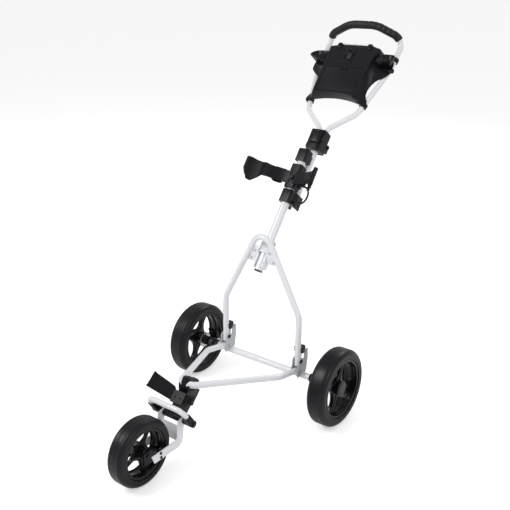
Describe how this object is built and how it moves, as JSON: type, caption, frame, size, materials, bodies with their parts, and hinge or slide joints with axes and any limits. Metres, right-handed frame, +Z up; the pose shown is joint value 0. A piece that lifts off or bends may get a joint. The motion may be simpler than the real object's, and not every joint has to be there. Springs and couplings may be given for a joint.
{
  "type": "golf push cart",
  "caption": "Folding three-wheel push cart for a golf bag, with bag cradles, a leaning shaft and a handle loop that carries a console.",
  "frame": {"origin": "On the ground, under the middle of the cart's length and width.", "axes": "+X to the right as seen by someone facing the front of the cart, +Y from the front wheel back to the handle, +Z up."},
  "size_m": [0.629, 1.3046, 1.1714],
  "materials": {
    "white_tube": "gloss white paint",
    "grey_sheet": "light grey paint",
    "black_plastic": "satin black moulding",
    "gloss_black": "gloss black moulding",
    "grey_plastic": "dark grey moulding",
    "tyre_foam": "solid foam, soft sheen",
    "grip_foam": "foam grip",
    "strap_elastic": "elastic cord",
    "bright_steel": "zinc plated",
    "black_screw": "black plated"
  },
  "bodies": {
    "base": {"axle_tube": "white_tube", "axle_stubs": "bright_steel", "lower_frame": "white_tube", "left_bracket": "grey_sheet", "right_bracket": "grey_sheet", "pivot_bolts": "black_screw", "bracket_rivets": "bright_steel", "latch_pins": "bright_steel", "brake_post": "bright_steel", "nose_casting": "black_plastic", "nose_pin": "black_screw", "lower_cradle": "black_plastic"},
    "front_carrier": {"front_fork": "white_tube", "axle_blocks": "black_plastic", "front_axle": "black_screw", "track_screws": "black_screw"},
    "front_wheel": {"front_tyre": "tyre_foam", "front_rim": "gloss_black", "front_bushes": "bright_steel"},
    "bag_base": {"base_loop": "white_tube", "loop_lugs": "black_plastic"},
    "left_wheel": {"left_tyre": "tyre_foam", "left_rim": "gloss_black", "left_bushes": "bright_steel", "left_hub_cap": "grey_plastic", "brake_ring": "bright_steel"},
    "right_wheel": {"right_tyre": "tyre_foam", "right_rim": "gloss_black", "right_bushes": "bright_steel", "right_hub_cap": "grey_plastic"},
    "left_lock": {"left_latch": "black_plastic"},
    "right_lock": {"right_latch": "black_plastic"},
    "left_knob": {"left_release": "black_plastic"},
    "right_knob": {"right_release": "black_plastic"},
    "brake": {"brake_lever": "black_plastic"},
    "upright": {"a_frame": "white_tube", "arch_bracket": "white_tube", "shaft_bolts": "black_screw", "arch_screws": "bright_steel", "shaft_lower": "white_tube", "shaft_cap": "black_plastic", "pivot_collar": "black_plastic", "collar_pin": "black_screw", "upper_cradle": "black_plastic", "cradle_screws": "black_screw", "upper_strap": "strap_elastic", "shaft_head": "black_plastic"},
    "upper_shaft": {"shaft_upper": "white_tube", "clamp_yoke": "black_plastic", "clamp_pins": "black_screw"},
    "clamp_catch": {"clamp_lever": "black_plastic"},
    "handle": {"handle_root": "black_plastic", "handle_loop": "white_tube", "handle_grip": "grip_foam", "console_tray": "black_plastic", "console_cover": "black_plastic", "card_wire": "bright_steel"},
    "lid": {"console_lid": "black_plastic"},
    "clip": {"card_clip": "grey_plastic"}
  },
  "joints": [
    {"name": "front_wheel_spin", "type": "hinge", "parent": "front_carrier", "child": "front_wheel", "pos_m": [0, -0.55129, 0.101], "axis": [1, 0, 0], "continuous": true},
    {"name": "left_wheel_spin", "type": "hinge", "parent": "base", "child": "left_wheel", "pos_m": [-0.283, 0.02471, 0.125], "axis": [1, 0, 0], "continuous": true},
    {"name": "right_wheel_spin", "type": "hinge", "parent": "base", "child": "right_wheel", "pos_m": [0.283, 0.02471, 0.125], "axis": [1, 0, 0], "continuous": true},
    {"name": "front_wheel_fold", "type": "hinge", "parent": "base", "child": "front_carrier", "pos_m": [0, -0.40629, 0.14], "axis": [1, 0, 0], "range_deg": [0, 80]},
    {"name": "bag_base_fold", "type": "hinge", "parent": "base", "child": "bag_base", "pos_m": [0, -0.40629, 0.14], "axis": [1, 0, 0], "range_deg": [0, 25]},
    {"name": "upright_fold", "type": "hinge", "parent": "base", "child": "upright", "pos_m": [0, 0.01471, 0.178], "axis": [1, 0, 0], "range_deg": [0, 70]},
    {"name": "left_latch_swing", "type": "hinge", "parent": "base", "child": "left_lock", "pos_m": [-0.148, 0.04471, 0.203], "axis": [1, 0, 0], "range_deg": [-40, 0], "stiffness_Nm_per_rad": 0.05},
    {"name": "right_latch_swing", "type": "hinge", "parent": "base", "child": "right_lock", "pos_m": [0.148, 0.04471, 0.203], "axis": [1, 0, 0], "range_deg": [-40, 0], "stiffness_Nm_per_rad": 0.05},
    {"name": "left_release_pull", "type": "slide", "parent": "base", "child": "left_knob", "axis": [1, 0, 0], "range_m": [0, 0.004], "stiffness_N_per_m": 200},
    {"name": "right_release_pull", "type": "slide", "parent": "base", "child": "right_knob", "axis": [-1, 0, 0], "range_m": [0, 0.004], "stiffness_N_per_m": 200},
    {"name": "brake_swing", "type": "hinge", "parent": "base", "child": "brake", "pos_m": [-0.221, 0.04971, 0.125], "axis": [1, 0, 0], "range_deg": [0, 20]},
    {"name": "shaft_fold", "type": "hinge", "parent": "upright", "child": "upper_shaft", "pos_m": [0, 0.20846, 0.62833], "axis": [1, 0, 0], "range_deg": [-90, 0]},
    {"name": "clamp_swing", "type": "hinge", "parent": "upper_shaft", "child": "clamp_catch", "pos_m": [0, 0.31304, 0.80357], "axis": [1, 0, 0], "range_deg": [0, 90]},
    {"name": "handle_fold", "type": "hinge", "parent": "upper_shaft", "child": "handle", "pos_m": [0, 0.3693, 0.78246], "axis": [1, 0, 0], "range_deg": [-90, 0]},
    {"name": "lid_swing", "type": "hinge", "parent": "handle", "child": "lid", "pos_m": [0, 0.43977, 0.96182], "axis": [1, 0, 0], "range_deg": [0, 100]},
    {"name": "card_clip_swing", "type": "hinge", "parent": "handle", "child": "clip", "pos_m": [0, 0.54376, 1.06863], "axis": [1, 0, 0], "range_deg": [-30, 0], "stiffness_Nm_per_rad": 0.02}
  ]
}
